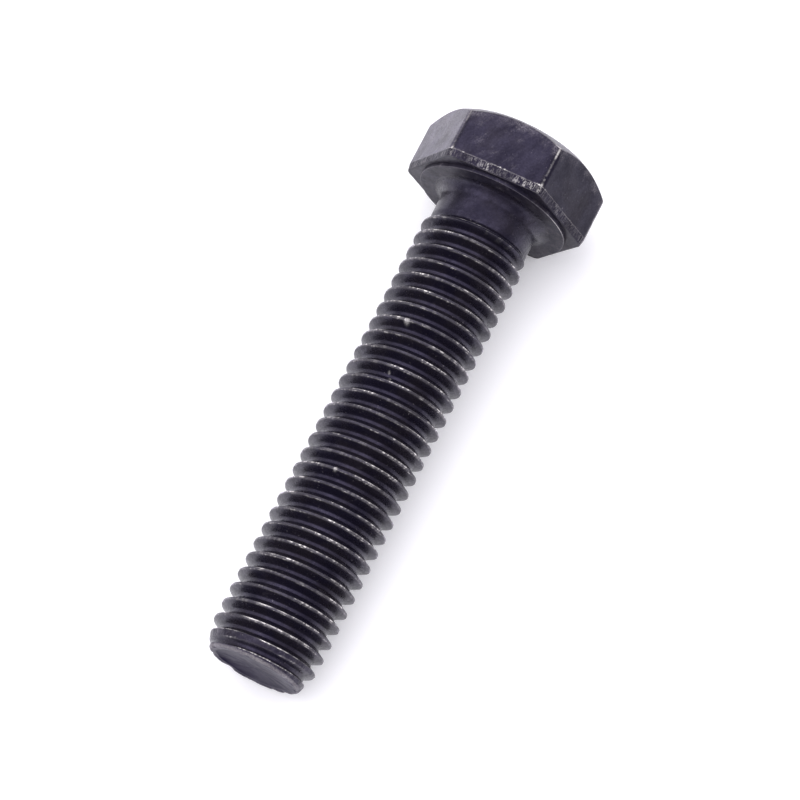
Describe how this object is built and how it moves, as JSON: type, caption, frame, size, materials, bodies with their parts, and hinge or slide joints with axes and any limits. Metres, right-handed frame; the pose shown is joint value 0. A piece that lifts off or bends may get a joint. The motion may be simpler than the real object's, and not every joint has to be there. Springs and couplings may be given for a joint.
{
  "type": "hex head bolt",
  "caption": "Fully threaded hex head bolt with a raised washer face under the head, coarse metric right-hand thread, black oxide finish.",
  "frame": {"origin": "centre of the bearing face under the head, on the bolt's axis", "axes": "+X along the axis toward the top of the head, -X toward the point, +Z square to one flat of the hexagon"},
  "size_m": [0.0622, 0.0202, 0.0178],
  "materials": {
    "black_oxide_head": "black oxide, satin, lightly scuffed",
    "black_oxide_face": "black oxide, satin, worn along the edge",
    "black_oxide_shank": "black oxide, satin, crests worn bright in specks"
  },
  "bodies": {
    "root": {"hex_head": "black_oxide_head", "washer_face": "black_oxide_face", "neck": "black_oxide_shank", "thread": "black_oxide_shank", "point": "black_oxide_face"}
  },
  "joints": []
}
